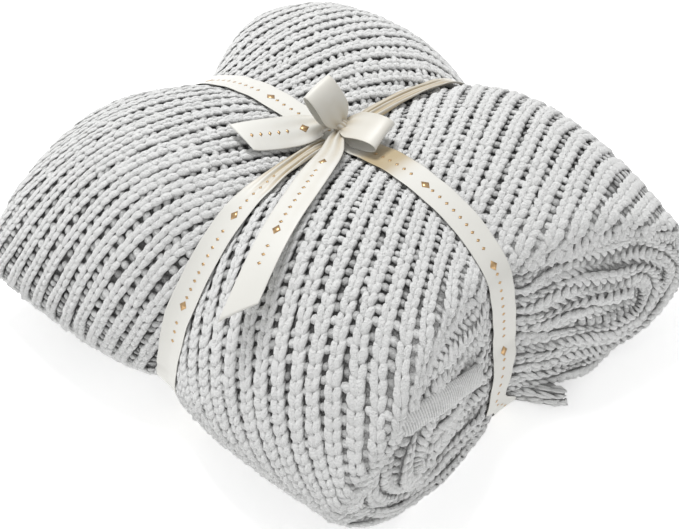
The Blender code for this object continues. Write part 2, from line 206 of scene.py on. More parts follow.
def fold_path():
    """Rows of y, z, outward y and outward z, and the row where each run or turn starts."""
    rows, starts = [], []
    for step, layer in enumerate(FOLD_ORDER):
        leftward = step % 2 == 0
        start = OUTER_END_Y if step == 0 else (RIGHT_CENTRE if leftward else LEFT_CENTRE)
        end = LEFT_CENTRE if leftward else (INNER_END_Y if step == LAYERS - 1 else RIGHT_CENTRE)
        z = layer_height(layer)
        starts.append(len(rows))
        count = max(2, round(abs(end - start) / PATH_STEP))
        rows += [(start + (end - start) * k / count, z, 0.0, -1.0 if leftward else 1.0)
                 for k in range(count)]
        starts.append(len(rows))
        if step == LAYERS - 1:
            rows.append((end, z, 0.0, 1.0))
            break
        z_next = layer_height(FOLD_ORDER[step + 1])
        side, radius, sign = (-1 if leftward else 1), abs(z_next - z) / 2, math.copysign(1, z_next - z)
        count = max(6, round(math.pi * radius / PATH_STEP))
        for k in range(count):
            angle = math.pi * (k / count - 0.5)
            across, up = math.cos(angle), math.sin(angle) * sign
            facing = np.array([side * across, up * TURN_REACH])
            facing = facing / np.linalg.norm(facing)
            rows.append((end + side * TURN_REACH * radius * across, (z + z_next) / 2 + radius * up, *facing))
    return np.array(rows), starts


path, section_starts = fold_path()
path_s = np.concatenate([[0], np.cumsum(np.hypot(*np.diff(path[:, :2], axis=0).T))])
CLOTH_LENGTH = path_s[-1]
OUTER_FROM, OUTER_TO = path_s[section_starts[1]], path_s[section_starts[4]]
print(f"the cloth runs {CLOTH_LENGTH:.3f} m through {LAYERS} layers")
print(f"its outer turn is from {OUTER_FROM:.3f} to {OUTER_TO:.3f} m")

# %% [markdown]
# ## An address on the cloth
#
# Each layer has a rounded end where the cloth's own side shows. So the way across the cloth goes
# over the outer face, round the end and back along the inner face, like a string round a bar. The
# ribs are counted along that string. The ends are never quite even on real knitting, so they get
# a slow, smooth wander, and the ribbon presses the cloth in where it lies. Neither band of ribbon
# is quite straight, so two short tables say how far each one strays, and low on the sides that the
# photograph shows both stray further.

# %% Turn an address into a point
FLAT_HALF = WIDTH / 2 - END_ROUNDING
END_LENGTH = math.pi * HALF_LAYER
END_RIBS = 4
END_RIB_PITCH = END_LENGTH / END_RIBS
OVER_THE_EDGE = 0.62 * END_LENGTH
RIBBON_WIDTH = 0.025
PRESS, PRESS_SWELL = 0.0026, 0.0010
PRESS_EDGE, SWELL_WIDTH = 0.0016, 0.007
END_SHOULDER, END_FILL, END_FILL_REACH = 0.0040, 0.0028, 0.02
END_BLEND, END_CALM, RIBBON_CALM = 0.030, 0.030, 0.026
OTHER_END_SHIFT = 0.4
WANDER = (
    {"high": 0.0034, "often": 19, "shift": 0.7},
    {"high": 0.0026, "often": 31, "shift": 2.1},
    {"high": 0.0012, "often": 67, "shift": 0.0},
)
SWAY = (
    {"high": 0.0030, "often": 23, "shift": 1.3},
    {"high": 0.0024, "often": 43, "shift": 0.4},
)
BELLY = {"out": 0.0050, "y": 0.05, "reach_y": 0.085, "z": 0.118, "reach_z": 0.052}
FLAP = {"stand": 0.020, "length": OUTER_END_Y, "from_y": -0.004, "over": 0.020}
LOW_STRAY = {"along": 0.012, "across": -0.016}
STRAY_BELOW = {"height": 0.120, "over": 0.110}
STRAY_OUT = {"from": 0.090, "over": 0.050}
UNDERSIDE_OVER = 0.025
RIBBON_LINES = {
    "along": {
        "at": (-0.204, -0.188, -0.155, -0.126, -0.094, -0.060, -0.030, 0.034, 0.066, 0.100, 0.140, 0.190),
        "aside": (0.005, 0.000, 0.002, 0.004, 0.006, 0.004, 0.000, 0.000, 0.004, 0.007, 0.005, 0.000),
    },
    "across": {
        "at": (-0.200, -0.170, -0.110, -0.060, -0.030, 0.000, 0.050, 0.110, 0.160),
        "aside": (-0.003, -0.010, -0.011, -0.011, -0.007, -0.003, -0.004, -0.003, 0.000),
    },
}


def ribbon_line(band, place, z=HEIGHT):
    """How far the middle of a band strays aside at a place and a height; not at all underneath."""
    aside = np.interp(place, RIBBON_LINES[band]["at"], RIBBON_LINES[band]["aside"])
    way_out = place if band == "across" else -place
    low = soft_step((STRAY_BELOW["height"] - z) / STRAY_BELOW["over"])
    aside = aside + LOW_STRAY[band] * low * soft_step((way_out - STRAY_OUT["from"]) / STRAY_OUT["over"])
    return aside * soft_step((z - HALF_LAYER) / UNDERSIDE_OVER)


def pressed(t):
    """How far a ribbon at t = 0 pushes the cloth in, with a small swelling beside it."""
    inside = 1 / (1 + np.exp((np.abs(t) - 0.60 * RIBBON_WIDTH) / PRESS_EDGE))
    beside = np.exp(-((np.abs(t) - 0.95 * RIBBON_WIDTH) / SWELL_WIDTH) ** 2)
    return PRESS * inside - PRESS_SWELL * beside


def waves(rows, s):
    """The waves of a short table, added up at places along the cloth."""
    return sum(row["high"] * np.sin(s * row["often"] + row["shift"]) for row in rows)


def end_wander(s, y, z):
    """How far a layer's end stands out: slow waves along the cloth, a belly, and the flap."""
    reach = ((y - BELLY["y"]) / BELLY["reach_y"]) ** 2 + ((z - BELLY["z"]) / BELLY["reach_z"]) ** 2
    flap = FLAP["stand"] * soft_step((y - FLAP["from_y"]) / FLAP["over"]) * (s < FLAP["length"])
    return waves(WANDER, s) + BELLY["out"] * np.exp(-reach) + flap * (z < PITCH)


def end_sway(s):
    """How far a layer's end rides up or sags between its neighbours."""
    return waves(SWAY, s)


def cloth(q, s, lift):
    """Points at q across the cloth and s along it, lifted off its face."""
    q, s, lift = np.broadcast_arrays(q, s, lift)
    size = np.abs(q)
    turn = np.clip((size - FLAT_HALF) / HALF_LAYER, 0, math.pi)
    back = np.clip(size - FLAT_HALF - END_LENGTH, 0, None)
    flat = np.minimum(size, FLAT_HALF)
    y, z, out_y, out_z = (np.interp(s, path_s, column) for column in path.T)
    outer = (s > OUTER_FROM) & (s < OUTER_TO)
    from_along, from_across = q - ribbon_line("along", y, z), y - ribbon_line("across", q, z)
    shown = (outer | (turn > 0)) & (back == 0)
    lift = lift - np.where(shown, pressed(from_along) + pressed(from_across), 0.0)
    free = 1 - np.exp(-(from_across / RIBBON_CALM) ** 4)
    radius = HALF_LAYER + lift + END_SHOULDER * free * np.sin(2 * turn) ** 2
    at_end = np.clip((flat - FLAT_HALF + END_BLEND) / END_BLEND, 0, 1)
    at_end = at_end * (1 - np.exp(-(y / END_CALM) ** 4)) * free
    wander = np.where(q > 0, end_wander(s, y, z), end_wander(s + OTHER_END_SHIFT, y, z))
    x = np.sign(q) * (flat + radius * np.sin(turn) - back + wander * at_end)
    fill = END_FILL * np.clip((size - FLAT_HALF) / END_FILL_REACH + 1, 0, 1)
    fill = fill * np.clip(3 * np.cos(turn), -1, 1)
    unfilled = (outer & (turn < math.pi / 2)) | (back > 0)
    n = radius * np.cos(turn) + np.where(unfilled, 0.0, fill)
    block_y = y + n * out_y
    return parcel(x, block_y, sag(block_y, z + n * out_z + end_sway(s) * at_end))


def rib_place(number):
    """Where across the cloth the rib with this number is; ribs 14 to 17 go round the end."""
    half, size = RIBS / 2, np.abs(number)
    on_end = FLAT_HALF + (size - half) * END_RIB_PITCH
    on_back = FLAT_HALF + END_LENGTH + (size - half - END_RIBS) * RIB_PITCH
    place = np.where(size <= half, size * RIB_PITCH, np.where(size > half + END_RIBS, on_back, on_end))
    return np.sign(number) * place


print(f"{RIBS} ribs at {1000 * RIB_PITCH:.1f} mm")
print(f"{END_RIBS} ribs round each end at {1000 * END_RIB_PITCH:.1f} mm")

# %% [markdown]
# ## Meshes from arrays
#
# A hundred thousand faces are slow to make one by one. Blender takes whole arrays of points and
# faces at once, so every piece here ends in this small helper.

# %% A helper that makes a mesh object
def mesh_piece(name, points, faces, material, smooth=True, **marks):
    """A mesh from an array of points and a list of face arrays; marks hold a number for each point."""
    mesh = bpy.data.meshes.new(name)
    sizes = np.concatenate([np.full(len(f), f.shape[1]) for f in faces])
    corners = np.concatenate([f.ravel() for f in faces]).astype(np.int32)
    mesh.vertices.add(len(points))
    mesh.vertices.foreach_set("co", np.asarray(points, np.float32).ravel())
    mesh.loops.add(len(corners))
    mesh.loops.foreach_set("vertex_index", corners)
    mesh.polygons.add(len(sizes))
    mesh.polygons.foreach_set("loop_start", np.concatenate([[0], np.cumsum(sizes)[:-1]]).astype(np.int32))
    mesh.polygons.foreach_set("loop_total", sizes.astype(np.int32))
    mesh.polygons.foreach_set("use_smooth", np.full(len(sizes), smooth))
    mesh.update(calc_edges=True)
    for mark, values in marks.items():
        mesh.attributes.new(mark, "FLOAT", "POINT").data.foreach_set("value", np.clip(values, 0, 1).ravel())
    mesh.materials.append(material)
    piece = bpy.data.objects.new(name, mesh)
    bpy.context.scene.collection.objects.link(piece)
    return piece


def grid_faces(rows, columns, closed_rows=False, closed_columns=False):
    """Four-cornered faces over a grid of points stored row by row."""
    r = np.arange(rows if closed_rows else rows - 1)
    c = np.arange(columns if closed_columns else columns - 1)
    r, c = (a.ravel() for a in np.meshgrid(r, c, indexing="ij"))
    r2, c2 = (r + 1) % rows, (c + 1) % columns
    return np.stack([r * columns + c, r * columns + c2, r2 * columns + c2, r2 * columns + c], axis=1)


print("a grid of 3 by 4 points has", len(grid_faces(3, 4)), "faces")

# %% [markdown]
# ## The yarn
#
# Chenille is a velvety yarn: light sinks into its pile, and its edges glow a little. A rough
# surface with sheen gives that. Two sizes of noise raise the tufts. Shade down in the furrows is
# painted into the colour: every point of the knitting carries a number, its rise, from 0 deep down
# to 1 on top, and the yarn's colour goes from a painted shade up to its own grey as it rises.

# %% The chenille material
# The deep colour is painted shade for the furrows; the top colour is the yarn's own grey.
YARN_TOP, YARN_PAINTED_SHADE = (0.750, 0.752, 0.745, 1), (0.115, 0.115, 0.113, 1)


def new_material(name):
    material = bpy.data.materials.new(name)
    material.use_nodes = True
    nodes, links = material.node_tree.nodes, material.node_tree.links
    return material, nodes, links, nodes["Principled BSDF"]


def set_sockets(node, values):
    """Plain numbers and colours on a node's own sockets."""
    for socket, value in values.items():
        node.inputs[socket].default_value = value


def add_mark(nodes, name):
    """Reads a number that every point of the mesh carries."""
    mark = nodes.new("ShaderNodeAttribute")
    mark.attribute_name = name
    return mark.outputs["Fac"]


def add_ramp(nodes, links, tone, first, last):
    """A colour that goes from the first to the last as the tone rises; each is a place and a colour."""
    ramp = nodes.new("ShaderNodeValToRGB")
    for element, (place, color) in zip(ramp.color_ramp.elements, (first, last)):
        element.position, element.color = place, color
    links.new(tone, ramp.inputs["Fac"])
    return ramp.outputs["Color"]


def add_noise(nodes, links, place, scale, detail=2.0):
    noise = nodes.new("ShaderNodeTexNoise")
    set_sockets(noise, {"Scale": scale, "Detail": detail})
    links.new(place.outputs["Object"], noise.inputs["Vector"])
    return noise.outputs["Fac"]


def add_sum(nodes, links, first, second, share):
    """First plus share times second, shifted so that a middling noise adds nothing."""
    shifted, total = nodes.new("ShaderNodeMath"), nodes.new("ShaderNodeMath")
    shifted.operation, total.operation = "SUBTRACT", "MULTIPLY_ADD"
    shifted.inputs[1].default_value, total.inputs[1].default_value = share / 2, share
    links.new(first, shifted.inputs[0])
    links.new(second, total.inputs[0])
    links.new(shifted.outputs["Value"], total.inputs[2])
    return total.outputs["Value"]


def add_bump(nodes, links, height, strength, distance, below=None):
    bump = nodes.new("ShaderNodeBump")
    set_sockets(bump, {"Strength": strength, "Distance": distance})
    links.new(height, bump.inputs["Height"])
    if below:
        links.new(below, bump.inputs["Normal"])
    return bump.outputs["Normal"]


def chenille_material():
    material, nodes, links, shader = new_material("chenille_yarn")
    place = nodes.new("ShaderNodeTexCoord")
    tone = add_mark(nodes, "rise")
    drift = add_noise(nodes, links, place, 16, 3)
    tufts = add_noise(nodes, links, place, 620, 3)
    pile = add_noise(nodes, links, place, 1500)
    for noise, share in ((drift, 0.30), (tufts, 0.40), (pile, 0.30)):
        tone = add_sum(nodes, links, tone, noise, share)
    # Painted shade: a low rise gets the dark colour, a high rise the yarn's own grey.
    grey = add_ramp(nodes, links, tone, (0.16, YARN_PAINTED_SHADE), (0.85, YARN_TOP))
    links.new(grey, shader.inputs["Base Color"])
    coarse = add_bump(nodes, links, tufts, 0.95, 0.0020)
    links.new(add_bump(nodes, links, pile, 0.70, 0.0006, coarse), shader.inputs["Normal"])
    set_sockets(shader, {"Roughness": 0.92, "Specular IOR Level": 0.18,
                         "Sheen Weight": 0.30, "Sheen Roughness": 0.55})
    return material


chenille = chenille_material()
print(f"{chenille.name}: {len(chenille.node_tree.nodes)} nodes")

# %% [markdown]
# ## The ground of the cloth
#
# Under the stitches lies the ground: the sheet itself, kept plain. Both its side edges are
# folded in to the middle before it is wound, so every layer is double and shows a fold at either
# end. The ground is one closed ring of points, out along the sheet's outer face and back along its
# inner one, swept along the cloth and rounded off at both of its ends.

# %% Sweep the ground of the cloth
GROUND_STEP, GROUND_SINK, END_SINK = 0.010, 0.0058, 0.0020
# The rise of the ground paints shade on it: dark in the furrows under the stitches, lighter towards the
# sheet's folded edges and on its plain parts.
DEEP_RISE, END_RISE, EDGE_SINK, EDGE_RISE = 0.15, 0.36, 0.0032, 0.20
HIDDEN_SINK, STITCH_MARGIN = 0.0012, 0.01
EDGE_BLEND = {"before": 0.030, "over": 0.040}
SHEET_THICKNESS, SLIT = 0.0108, 0.3
NOSE, NOSE_STEPS, NOSE_SHARE = 0.006, (0, 0.08, 0.25, 0.55), 0.9
HIDDEN_COLUMNS = 13
FLOOR_CLEARANCE = 0.0004


def above_floor(points):
    """Cloth that meets the floor is flattened by it."""
    points[..., 2] = np.maximum(points[..., 2], FLOOR_CLEARANCE)
    return points


def sheet_numbers():
    """Rib numbers from one side edge of the sheet to the other, closer together where it shows."""
    last, shown = RIBS / 2 + END_RIBS + RIBS / 2 - SLIT, RIBS / 2 + END_RIBS
    fine = np.linspace(-shown, shown, 2 * int(2 * shown) + 1)
    hidden = np.linspace(shown, last, HIDDEN_COLUMNS + 1)[1:]
    return np.concatenate([-hidden[::-1], fine, hidden])


def sheet_rows():
    """Distances along the cloth, closer together in the rounded noses at its ends."""
    nose = NOSE * np.array(NOSE_STEPS)
    middle = np.linspace(NOSE, CLOTH_LENGTH - NOSE, round(CLOTH_LENGTH / GROUND_STEP))
    return np.concatenate([nose, middle, CLOTH_LENGTH - nose[::-1]])


def make_ground():
    numbers, along = sheet_numbers(), sheet_rows()
    q, s = np.meshgrid(rib_place(numbers), along)
    size = np.abs(q)
    on_end = (size > FLAT_HALF) & (size < FLAT_HALF + END_LENGTH)
    stitched = (s > OUTER_FROM - STITCH_MARGIN) & (s < OUTER_TO + STITCH_MARGIN)
    stitched = stitched & (size <= FLAT_HALF + OVER_THE_EDGE)
    edge = soft_step((size - FLAT_HALF + EDGE_BLEND["before"]) / EDGE_BLEND["over"])
    plain_sink = np.where(on_end, END_SINK, HIDDEN_SINK)
    sunk = np.where(stitched, GROUND_SINK + (EDGE_SINK - GROUND_SINK) * edge, plain_sink)
    # Painted shade: the ground under the stitches gets a low rise, so it is coloured dark.
    rise = np.where(stitched, DEEP_RISE + EDGE_RISE * edge, END_RISE)
    from_end = np.clip(np.minimum(s, CLOTH_LENGTH - s) / NOSE, 0, 1)
    thinner = SHEET_THICKNESS / 2 * NOSE_SHARE * (1 - np.sqrt(1 - (1 - from_end) ** 2))
    outer = above_floor(cloth(q, s, -sunk - thinner))
    inner = above_floor(cloth(q, s, -SHEET_THICKNESS + thinner))
    points = np.concatenate([outer, inner[:, ::-1]], axis=1)
    rise = np.concatenate([rise, rise[:, ::-1]], axis=1)
    rows, columns = points.shape[:2]
    k = np.arange(columns // 2 - 1)
    first = np.stack([k, k + 1, columns - 2 - k, columns - 1 - k], axis=1)
    last = first[:, ::-1] + (rows - 1) * columns
    faces = [grid_faces(rows, columns, closed_columns=True)[:, ::-1], first, last]
    return mesh_piece("throw_ground", points.reshape(-1, 3), faces, chenille, rise=rise)


ground = make_ground()
print("ground faces:", len(ground.data.polygons))

# %% [markdown]
# ## The stitches
#
# A rib is a chain of V shapes. Each V has two legs, and each leg is a plump, slanting drop that
# comes up from under the stitch before it and dives under the next one. We shape one leg, flat
# below where nobody sees it, and lay thousands of copies at their addresses. Because the address
# bends with the parcel, so does every leg. A seeded random hand makes them a little uneven.

# %% Shape one leg of a stitch
LEG_LENGTH, LEG_WIDTH, LEG_HEIGHT = 0.0138, 0.0057, 0.0064
LEG_INNER, LEG_OUTER = 0.0010, 0.0037
LEG_RINGS, PLAIN_LEG_RINGS = (0.10, 0.28, 0.50, 0.72, 0.90), (0.13, 0.38, 0.63, 0.88)
LEG_SIDES = (-25, 25, 65, 115, 155, 205)
LEG_PLUMP, LEG_DIP, LEG_HIGHEST, LEG_FALL = 0.62, 0.0034, 0.48, 0.0008


def tip_faces(rings, sides):
    """Triangles that close a row of rings at its two tips."""
    turn = np.arange(sides)
    following, last_ring = (turn + 1) % sides, 1 + (rings - 1) * sides
    start = np.stack([np.zeros(sides, int), 1 + following, 1 + turn], axis=1)
    end = np.stack([np.full(sides, last_ring + sides), last_ring + turn, last_ring + following], axis=1)
    return np.vstack([start, end])


def leg_middle(u):
    """The middle line of a leg: it leans outwards, and its two tips dip."""
    lean = LEG_INNER + (LEG_OUTER - LEG_INNER) * u
    dip = -LEG_DIP * (2 * abs(u - LEG_HIGHEST)) ** 2.4
    return lean, LEG_LENGTH * (u - 0.5), dip - LEG_FALL * u


def leg_shape(ring_places):
    """One leg at the origin: distance out from the rib's middle, way along, height; and faces."""
    points = [leg_middle(0.0)]
    for u in ring_places:
        out, along, height = leg_middle(u)
        plump = math.sin(math.pi * u) ** LEG_PLUMP
        for side in LEG_SIDES:
            angle = math.radians(side)
            points.append((out + LEG_WIDTH / 2 * plump * math.cos(angle), along,
                           height + LEG_HEIGHT / 2 * plump * math.sin(angle)))
    points.append(leg_middle(1.0))
    sides, rings = len(LEG_SIDES), len(ring_places)
    return np.array(points), 1 + grid_faces(rings, sides, closed_columns=True), tip_faces(rings, sides)


leg, plain_leg = leg_shape(LEG_RINGS), leg_shape(PLAIN_LEG_RINGS)
print("points in one leg:", len(leg[0]), "and in a plain one:", len(plain_leg[0]))

# %% Lay copies of a shape at their addresses
random_hand = np.random.default_rng(7)
LUMP = 0.00016
UNEVEN = {"aside": 0.00022, "taller": 0.12, "longer": 0.04,
          "ahead": 0.00045, "higher": 0.00024, "askew": 0.028}
# Painted shade: a point's rise, and so its colour, goes from dark to light over this span of height.
RISE_FROM, RISE_OVER = -0.0046, 0.0042


def lay_copies(name, stitch, q, s, slope, mirror, size, lift, least_rise=0.0, flatter=1.0, darker=0.0):
    """One copy of the shape at each address. slope turns it, mirror is 1 or -1, size scales it."""
    (shape, walls, tips), count = stitch, len(q)
    out, way, up = shape.T[:, None, :]
    aside, taller, longer, ahead, higher, askew = (
        UNEVEN[key] * draw for key, draw in zip(UNEVEN, random_hand.normal(0, 1, (len(UNEVEN), count, 1))))
    lumps = random_hand.normal(0, LUMP, (2, count, len(shape)))
    size, slope, mirror = size[:, None], slope[:, None] + askew, mirror[:, None]
    across = mirror * out * size + aside + lumps[0]
    along = way * np.sqrt(size) * (1 + longer) + ahead
    height = lift[:, None] + flatter * up * size * (1 + taller) + higher + lumps[1]
    stretch = np.sqrt(1 + slope**2)
    placed = cloth(q[:, None] + (across + slope * along) / stretch,
                   s[:, None] + (along - slope * across) / stretch, height)
    shift = (np.arange(count) * len(shape))[:, None, None]
    flipped = mirror[:, 0] < 0
    faces = []
    for face in (walls, tips):
        together = face[None] + shift
        together[flipped] = together[flipped][:, :, ::-1]
        faces.append(together.reshape(-1, face.shape[1]))
    # The rise paints shade: points that sit lower are coloured darker, down to the least rise.
    rise = np.maximum((height - darker - RISE_FROM) / RISE_OVER, least_rise)
    return mesh_piece(name, above_floor(placed).reshape(-1, 3), faces, chenille, rise=rise)


def knit_pairs(name, stitch, q, s, slope, size, lift, **finish):
    """A V at each address: two legs that mirror each other. size and lift may be single numbers."""
    q, s, slope, size, lift = (np.repeat(row, 2) for row in np.broadcast_arrays(q, s, slope, size, lift))
    mirror = np.tile([-1.0, 1.0], len(q) // 2)
    return lay_copies(name, stitch, q, s, slope, mirror, size, lift, **finish)


print("a hand's unevenness, in metres or as a share:", UNEVEN)

# %% [markdown]
# ## How the ribs flow
#
# The ribs do not run straight over the parcel. The ribbon along them has drawn the cloth in under
# itself, so on either side of it they slant towards it, and they meet beneath it like the barbs of
# a feather. The table gives that slant at some places along the cloth, counted from where it
# comes out from under the parcel, for the ribs to the left and to the right of the ribbon. It also
# says how far apart they spread low on the side. There the ribs on the left fan out, too.

# %% Follow each slanting rib
FLOW = {
    "way": (0.06, 0.12, 0.15, 0.17, 0.20, 0.22, 0.25, 0.275, 0.295, 0.32, 0.36, 0.42, 0.45, 0.51, 0.61, 0.70),
    "left": (0.00, 0.05, 0.12, 0.16, 0.20, 0.30, 0.55, 0.92, 0.80, 0.40, 0.34, 0.46, 0.52, 0.42, 0.30, 0.00),
    "right": (0.00, -0.60, -0.85, -0.85, -0.72, -0.58, -0.45, -0.42, -0.42, -0.44, -0.47, -0.65, -0.72, -0.58,
              -0.42, 0.00),
    "spread": (1.16, 1.16, 1.15, 1.13, 1.08, 1.05, 1.02) + 9 * (1.00,),
}
SLANT_PITCH = {-1: 0.0153, 1: 0.0163}
COURSE_ALONG = 0.0072
MIDDLE_WAY = 0.405
UNDER_RIBBON = 0.002
RIB_NUMBERS = range(-45, 46)
UNLIKE = 2.4
FAN = {"side": -1, "most": 0.022, "from_way": 0.10, "to_way": 0.25, "reach": 0.06}


def fanned(side, place, way):
    """Ribs low on the left of the ribbon stand further from it and run up towards it."""
    low = 1 - soft_step((way - FAN["from_way"]) / (FAN["to_way"] - FAN["from_way"]))
    return place + (side == FAN["side"]) * side * FAN["most"] * low * np.exp(-(place / FAN["reach"]) ** 2)


def flow(column, s):
    """A column of the table at places along the cloth."""
    return np.interp(s - OUTER_FROM, FLOW["way"], FLOW[column])


def rib_course(side):
    """Places along a rib at even distances on the cloth, and how far it has moved across there."""
    fine = np.linspace(OUTER_FROM - 0.006, OUTER_TO + 0.004, 4000)
    slope = flow("left" if side < 0 else "right", fine)
    step = np.diff(fine, prepend=fine[0])
    moved, length = np.cumsum(slope * step), np.cumsum(np.sqrt(1 + slope**2) * step)
    moved = moved - np.interp(OUTER_FROM + MIDDLE_WAY, fine, moved)
    return fine, moved, length


def slanting_addresses(side, offset):
    """Stitch places on all the slanting ribs of one half: across, along and slope."""
    fine, moved, length = rib_course(side)
    places = []
    for number in RIB_NUMBERS:
        start = (0.5 + 0.5 * math.sin(number * UNLIKE + side)) * COURSE_ALONG
        s = np.interp(np.arange(start, length[-1], COURSE_ALONG), length, fine)
        rib = (number + offset) * SLANT_PITCH[side] * flow("spread", fine) + moved
        rib = fanned(side, rib, fine - OUTER_FROM)
        wave = 0.0006 * np.sin(s * 41 + number * 1.9) + 0.0004 * np.sin(s * 97 + number * 3.1)
        q, slope = np.interp(s, fine, rib) + wave, np.interp(s, fine, np.gradient(rib, fine))
        y, z = (np.interp(s, path_s, column) for column in path[:, :2].T)
        beside = side * (q - ribbon_line("along", y, z))
        kept = (beside > UNDER_RIBBON) & (side * q < FLAT_HALF + OVER_THE_EDGE)
        places.append(np.stack([q[kept], s[kept], slope[kept]]))
    return np.concatenate(places, axis=1)


# %% Knit the outer turn, one half at a time
OUTER_LIFT = -0.0017
LEG_SIZE = {-1: 1.02, 1: 1.08}
HALVES = {"left_half": -1, "right_half": 1}
outer_parts = [knit_pairs(f"stitches_{half}", leg, *slanting_addresses(side, 0.0), LEG_SIZE[side], OUTER_LIFT)
               for half, side in HALVES.items()]
print("faces in the outer stitches:", [len(part.data.polygons) for part in outer_parts])

# %% [markdown]
# ## The ends of the layers
#
# Where the layers end, four more ribs go round each rounded edge. They are pulled flatter than
# those on top, so their legs are smaller and sit lower. They run on through every fold, which is
# what makes the side of the parcel look like a wound bundle. They twist and swell in patches.

# %% Knit the layers' ends
END_LIFT, END_SIZE, END_TURN = -0.0008, 0.84, 0.75
PATCH_SIZE, PATCH_LIFT = 0.14, 0.0012
END_STRAY, END_STAGGER = 0.0005, 0.35
# darker lowers the ends' rise and so paints more shade on them; least_rise keeps that painted shade from
# going to the darkest.
END_FINISH = {"least_rise": 0.12, "flatter": 0.92, "darker": 0.0012}


def end_addresses(side):
    """Stitch places on the ribs round the layers' ends, but for those that the slanting ribs cover."""
    courses = np.arange(0.004, CLOTH_LENGTH - 0.003, COURSE_ALONG)
    numbers = side * (RIBS // 2 + 1 + np.arange(END_RIBS))
    number, s = (a.ravel() for a in np.meshgrid(numbers, courses, indexing="ij"))
    q = rib_place(number)
    slanting = (s > OUTER_FROM) & (s < OUTER_TO) & (np.abs(q) < FLAT_HALF + OVER_THE_EDGE)
    number, q, s = number[~slanting], q[~slanting], s[~slanting]
    return q + END_STRAY * np.sin(s * 71 + number), s + END_STAGGER * COURSE_ALONG * np.sin(number * UNLIKE)


def knit_end(name, side):
    q, s = end_addresses(side)
    slope = END_TURN * np.sin(s * 27 + 4 * np.sin(q * 60))
    patches = np.sin(s * 61 + 5 * np.sin(q * 75)) * np.sin(s * 17 + 1)
    return knit_pairs(name, plain_leg, q, s, slope, END_SIZE * (1 + PATCH_SIZE * patches),
                      END_LIFT + PATCH_LIFT * patches, **END_FINISH)


end_parts = [knit_end("stitches_right_end", 1), knit_end("stitches_left_end", -1)]
print("faces in the end stitches:", sum(len(part.data.polygons) for part in end_parts))

# %% [markdown]
# ## The rungs in the furrows
#
# Between two ribs the wrong side of a stitch shows: a short bar of yarn across the furrow, one to
# each course. They catch a little light, so that a furrow reads as a row of dark holes and not as
# a plain dark line.

# %% Lay the rungs
RUNG_HALF, RUNG_TIP = (0.0042, 0.0030, 0.0023), -0.0004
RUNG_RINGS, RUNG_SIDES = (-0.6, 0.0, 0.6), 6
RUNG_LIFT, RUNG_ASIDE, RUNG_SIZE = -0.0038, 0.0009, 0.97
RUNG_UNEVEN = {"aside": 0.0004, "along": 0.0008, "larger": 0.10, "higher": 0.0003}


def rung_shape():
    """A short bar across the furrow: three rings of points between two tips."""
    points = [(-RUNG_HALF[0], 0, RUNG_TIP)]
    for out in RUNG_RINGS:
        swell = math.sqrt(1 - out**2)
        for k in range(RUNG_SIDES):
            angle = 2 * math.pi * (k + 0.5) / RUNG_SIDES
            points.append((RUNG_HALF[0] * out, RUNG_HALF[1] * swell * math.cos(angle),
                           RUNG_HALF[2] * swell * math.sin(angle)))
    points.append((RUNG_HALF[0], 0, RUNG_TIP))
    walls = 1 + grid_faces(len(RUNG_RINGS), RUNG_SIDES, closed_columns=True)
    return np.array(points), walls[:, ::-1], tip_faces(len(RUNG_RINGS), RUNG_SIDES)[:, ::-1]


rung = rung_shape()


def lay_rungs(name, side):
    q, s, slope = slanting_addresses(side, 0.5)
    aside, along, larger, higher = (
        RUNG_UNEVEN[key] * draw for key, draw in zip(RUNG_UNEVEN, random_hand.normal(0, 1, (4, len(q)))))
    return lay_copies(name, rung, q + RUNG_ASIDE + aside, s + along, slope, np.ones(len(q)),
                      RUNG_SIZE + larger, RUNG_LIFT + higher)


rungs = [lay_rungs(f"rungs_{half}", side) for half, side in HALVES.items()]
print("faces in the rungs:", sum(len(part.data.polygons) for part in rungs))

# %% [markdown]
# ## The finished edge
#
# On the side of the parcel a stretch of the throw's own edge shows between two layers: a smooth
# rolled band with fine ridges across it. It is a long, flat oval laid along the layers' ends, with
# a ridge for each row of knitting, and it dips back between the layers at both of its ends.

# %% Lay the finished edge between two layers
EDGE_FROM_Y, EDGE_TO_Y = -0.158, -0.028
EDGE_HEIGHT_UP = {"from": 0.194, "to": 0.118}
EDGE_HALF_HEIGHT, EDGE_HALF_DEPTH, EDGE_STAND = 0.0150, 0.0042, 0.0050
EDGE_RIDGE, EDGE_TUCK = 0.0026, 0.016
EDGE_DIVE, EDGE_THINNING, EDGE_SWELL = 0.014, 0.85, 0.10
ROWS_A_RIDGE, EDGE_AROUND = 5, 26


